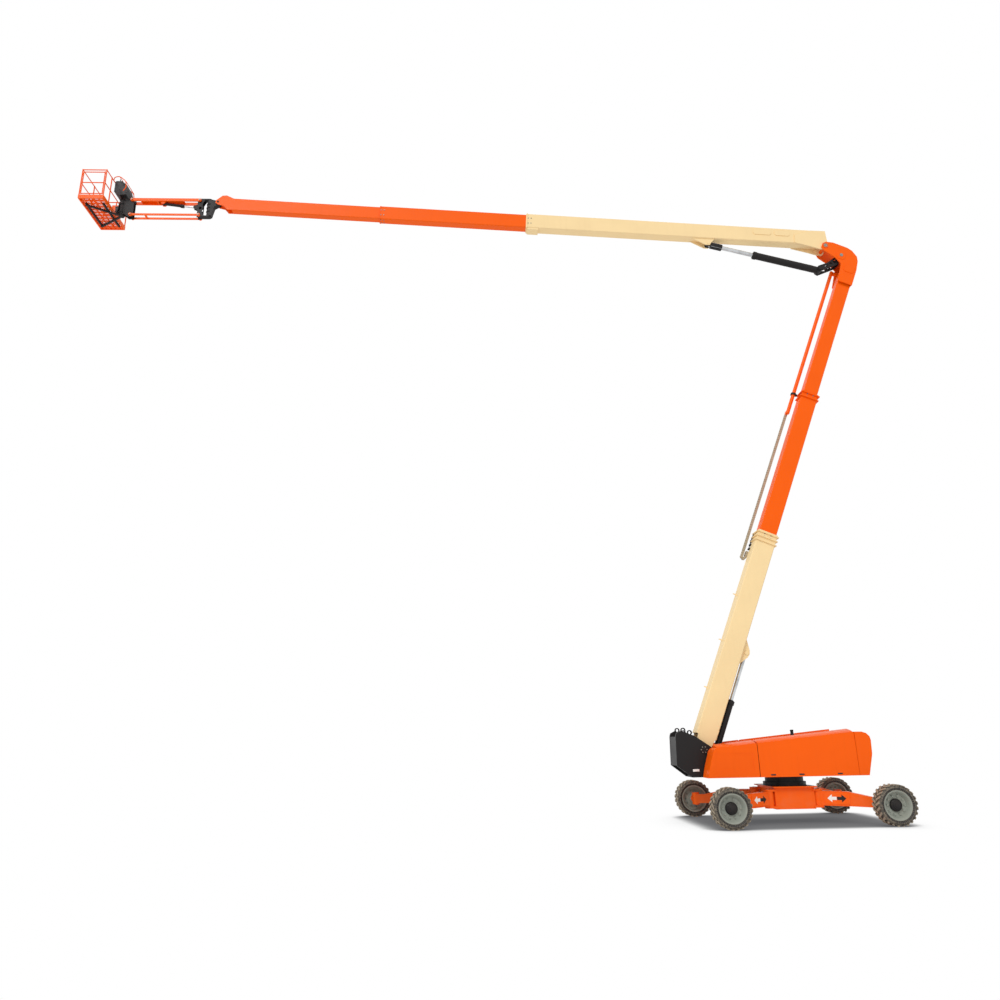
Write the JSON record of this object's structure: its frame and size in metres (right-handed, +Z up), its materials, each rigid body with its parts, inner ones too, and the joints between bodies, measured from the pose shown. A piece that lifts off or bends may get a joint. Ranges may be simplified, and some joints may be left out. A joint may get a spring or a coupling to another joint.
{
  "type": "articulating boom lift",
  "caption": "Self-propelled articulating boom lift with a telescopic tower, a telescopic main boom, a jib and a cage platform on swing-out wheel arms.",
  "frame": {"origin": "on the ground, below the middle of the whole part", "axes": "+X to the rear of the machine, away from the platform; +Y across to its right side; +Z up"},
  "size_m": [29.209, 4.435, 23.1518],
  "materials": {
    "orange_paint": "gloss machine enamel",
    "cream_paint": "satin machine enamel",
    "black_paint": "satin enamel",
    "chrome_rod": "ground hard chrome",
    "rim_grey": "satin enamel",
    "tyre_rubber": "dusty rubber",
    "engine_iron": "painted casting",
    "chain_grey": "moulded links",
    "black_plastic": "moulded"
  },
  "bodies": {
    "chassis": {"chassis_frame": "orange_paint", "slew_ring": "black_paint"},
    "arm_fl": {"axle_arm_fl": "orange_paint"},
    "knuckle_fl": {"steer_knuckle_fl": "orange_paint"},
    "wheel_fl": {"wheel_rim_fl": "rim_grey", "tyre_fl": "tyre_rubber"},
    "arm_fr": {"axle_arm_fr": "orange_paint"},
    "knuckle_fr": {"steer_knuckle_fr": "orange_paint"},
    "wheel_fr": {"wheel_rim_fr": "rim_grey", "tyre_fr": "tyre_rubber"},
    "arm_rl": {"axle_arm_rl": "orange_paint"},
    "knuckle_rl": {"steer_knuckle_rl": "orange_paint"},
    "wheel_rl": {"wheel_rim_rl": "rim_grey", "tyre_rl": "tyre_rubber"},
    "arm_rr": {"axle_arm_rr": "orange_paint"},
    "knuckle_rr": {"steer_knuckle_rr": "orange_paint"},
    "wheel_rr": {"wheel_rim_rr": "rim_grey", "tyre_rr": "tyre_rubber"},
    "turntable": {"turntable_frame": "black_paint", "front_cover_left": "orange_paint", "front_cover_right": "orange_paint", "counterweight": "orange_paint", "engine_block": "engine_iron"},
    "hood_left": {"hood_door_left": "orange_paint"},
    "hood_right": {"hood_door_right": "orange_paint"},
    "tower_base": {"tower_base": "cream_paint", "cable_chain": "chain_grey"},
    "tower_mid": {"tower_mid": "orange_paint"},
    "tower_fly": {"tower_fly": "orange_paint", "tower_conduit": "orange_paint", "cylinder_anchor": "black_paint"},
    "tower_barrel": {"tower_lift_barrel": "black_paint"},
    "tower_rod": {"tower_lift_rod": "chrome_rod"},
    "main_base": {"main_base": "cream_paint"},
    "main_mid": {"main_mid": "orange_paint"},
    "main_fly": {"main_fly": "orange_paint"},
    "main_rod": {"main_lift_rod": "chrome_rod"},
    "main_barrel": {"main_lift_barrel": "black_paint"},
    "leveller": {"jib_leveller": "black_paint"},
    "rotator": {"jib_rotator": "black_paint"},
    "jib_upper": {"jib_upper_arm": "orange_paint"},
    "jib_lower": {"jib_lower_arm": "orange_paint"},
    "jib_front": {"jib_front_bracket": "black_paint"},
    "jib_barrel": {"jib_lift_barrel": "black_paint"},
    "jib_rod": {"jib_lift_rod": "chrome_rod"},
    "platform": {"platform_rotator": "black_paint", "platform_floor": "orange_paint", "platform_rails": "orange_paint", "control_console": "black_plastic"},
    "gate": {"platform_gate": "orange_paint"}
  },
  "joints": [
    {"name": "arm_swing_fl", "type": "hinge", "parent": "chassis", "child": "arm_fl", "pos_m": [8.77737, -0.62, 0.7], "axis": [0, 0, 1], "range_deg": [-30, 0]},
    {"name": "steer_fl", "type": "hinge", "parent": "arm_fl", "child": "knuckle_fl", "pos_m": [7.14237, -1.57, 0.57], "axis": [0, 0, 1], "range_deg": [-30, 30]},
    {"name": "wheel_spin_fl", "type": "hinge", "parent": "knuckle_fl", "child": "wheel_fl", "pos_m": [7.14237, -1.995, 0.57], "axis": [0, 1, 0], "continuous": true},
    {"name": "arm_swing_fr", "type": "hinge", "parent": "chassis", "child": "arm_fr", "pos_m": [8.77737, 0.62, 0.7], "axis": [0, 0, -1], "range_deg": [-30, 0]},
    {"name": "steer_fr", "type": "hinge", "parent": "arm_fr", "child": "knuckle_fr", "pos_m": [7.14237, 1.57, 0.57], "axis": [0, 0, 1], "range_deg": [-30, 30]},
    {"name": "wheel_spin_fr", "type": "hinge", "parent": "knuckle_fr", "child": "wheel_fr", "pos_m": [7.14237, 1.995, 0.57], "axis": [0, 1, 0], "continuous": true},
    {"name": "arm_swing_rl", "type": "hinge", "parent": "chassis", "child": "arm_rl", "pos_m": [10.29737, -0.62, 0.7], "axis": [0, 0, -1], "range_deg": [-30, 0]},
    {"name": "steer_rl", "type": "hinge", "parent": "arm_rl", "child": "knuckle_rl", "pos_m": [11.93237, -1.57, 0.57], "axis": [0, 0, 1], "range_deg": [-30, 30]},
    {"name": "wheel_spin_rl", "type": "hinge", "parent": "knuckle_rl", "child": "wheel_rl", "pos_m": [11.93237, -1.995, 0.57], "axis": [0, 1, 0], "continuous": true},
    {"name": "arm_swing_rr", "type": "hinge", "parent": "chassis", "child": "arm_rr", "pos_m": [10.29737, 0.62, 0.7], "axis": [0, 0, 1], "range_deg": [-30, 0]},
    {"name": "steer_rr", "type": "hinge", "parent": "arm_rr", "child": "knuckle_rr", "pos_m": [11.93237, 1.57, 0.57], "axis": [0, 0, 1], "range_deg": [-30, 30]},
    {"name": "wheel_spin_rr", "type": "hinge", "parent": "knuckle_rr", "child": "wheel_rr", "pos_m": [11.93237, 1.995, 0.57], "axis": [0, 1, 0], "continuous": true},
    {"name": "slew", "type": "hinge", "parent": "chassis", "child": "turntable", "pos_m": [9.53737, 0, 1.34], "axis": [0, 0, 1], "continuous": true},
    {"name": "hood_left", "type": "hinge", "parent": "turntable", "child": "hood_left", "pos_m": [9.53737, -0.54, 2.391], "axis": [-0.9956, 0, -0.0937], "range_deg": [0, 60]},
    {"name": "hood_right", "type": "hinge", "parent": "turntable", "child": "hood_right", "pos_m": [9.53737, 0.54, 2.391], "axis": [0.9956, 0, 0.0937], "range_deg": [0, 60]},
    {"name": "tower_lift", "type": "hinge", "parent": "turntable", "child": "tower_base", "pos_m": [6.97137, 0, 2.15], "axis": [0, -1, 0], "range_deg": [-67, 3]},
    {"name": "tower_extend", "type": "slide", "parent": "tower_base", "child": "tower_mid", "axis": [0.3859, 0, 0.9225], "range_m": [-4.9, 0], "deforming": ["cable_chain"]},
    {"name": "tower_fly_extend", "type": "slide", "parent": "tower_mid", "child": "tower_fly", "axis": [0.3859, 0, 0.9225], "range_m": [-4.9, 0]},
    {"name": "tower_barrel_tilt", "type": "hinge", "parent": "turntable", "child": "tower_barrel", "pos_m": [7.21337, 0, 1.5], "axis": [0, -1, 0], "range_deg": [-64.4, 3.5]},
    {"name": "tower_rod_extend", "type": "slide", "parent": "tower_barrel", "child": "tower_rod", "axis": [0.3873, 0, 0.922], "range_m": [-0.76, 0.06]},
    {"name": "main_lift", "type": "hinge", "parent": "tower_fly", "child": "main_base", "pos_m": [13.44396, 0, 20.49958], "axis": [0, 1, 0], "range_deg": [-70.5, 70]},
    {"name": "main_extend", "type": "slide", "parent": "main_base", "child": "main_mid", "axis": [-0.9982, 0, 0.0593], "range_m": [-5.3, 0]},
    {"name": "main_fly_extend", "type": "slide", "parent": "main_mid", "child": "main_fly", "axis": [-0.9982, 0, 0.0593], "range_m": [-5.3, 0]},
    {"name": "main_rod_tilt", "type": "hinge", "parent": "main_base", "child": "main_rod", "pos_m": [8.94743, 0, 20.69159], "axis": [0, 1, 0], "range_deg": [-4, 4]},
    {"name": "main_barrel_extend", "type": "slide", "parent": "main_rod", "child": "main_barrel", "axis": [0.9664, 0, -0.2569], "range_m": [-0.95, 0.95]},
    {"name": "jib_level", "type": "hinge", "parent": "main_fly", "child": "leveller", "pos_m": [-9.80653, 0, 22.36176], "axis": [0, -1, 0], "range_deg": [-60, 60]},
    {"name": "jib_swing", "type": "hinge", "parent": "leveller", "child": "rotator", "pos_m": [-10.14653, 0, 22.43176], "axis": [0, 0, 1], "range_deg": [-75, 75]},
    {"name": "jib_lift", "type": "hinge", "parent": "rotator", "child": "jib_upper", "pos_m": [-10.49653, 0, 22.43176], "axis": [0, 1, 0], "range_deg": [-60, 65]},
    {"name": "jib_lower_tilt", "type": "hinge", "parent": "rotator", "child": "jib_lower", "pos_m": [-10.49653, 0, 21.77176], "axis": [0, 1, 0], "range_deg": [-61, 66]},
    {"name": "jib_front_level", "type": "hinge", "parent": "jib_upper", "child": "jib_front", "pos_m": [-13.03652, 0, 22.43176], "axis": [0, 1, 0], "range_deg": [-66, 61]},
    {"name": "jib_barrel_tilt", "type": "hinge", "parent": "jib_upper", "child": "jib_barrel", "pos_m": [-11.88653, 0, 22.34176], "axis": [0, 1, 0], "range_deg": [-8, 8]},
    {"name": "jib_rod_extend", "type": "slide", "parent": "jib_barrel", "child": "jib_rod", "axis": [0.9901, 0, -0.1403], "range_m": [-0.24, 0.26]},
    {"name": "platform_rotate", "type": "hinge", "parent": "jib_front", "child": "platform", "pos_m": [-13.39653, 0, 21.84676], "axis": [0, 0, 1], "range_deg": [-85, 85]},
    {"name": "gate_swing", "type": "hinge", "parent": "platform", "child": "gate", "pos_m": [-14.53352, -0.929, 22.44676], "axis": [0, 0, 1], "range_deg": [0, 90]}
  ],
  "couplings": [
    {"joint": "tower_fly_extend", "follows": "tower_extend", "ratio": 1},
    {"joint": "tower_barrel_tilt", "follows": "tower_lift", "ratio": 0.95},
    {"joint": "tower_rod_extend", "follows": "tower_lift", "m_per_rad": 0.633},
    {"joint": "main_fly_extend", "follows": "main_extend", "ratio": 1},
    {"joint": "main_rod_tilt", "follows": "main_lift", "ratio": 0.03},
    {"joint": "main_barrel_extend", "follows": "main_lift", "m_per_rad": 0.73},
    {"joint": "jib_lower_tilt", "follows": "jib_lift", "ratio": 1},
    {"joint": "jib_front_level", "follows": "jib_lift", "ratio": -1},
    {"joint": "jib_barrel_tilt", "follows": "jib_lift", "ratio": 0.1},
    {"joint": "jib_rod_extend", "follows": "jib_lift", "m_per_rad": 0.2}
  ]
}
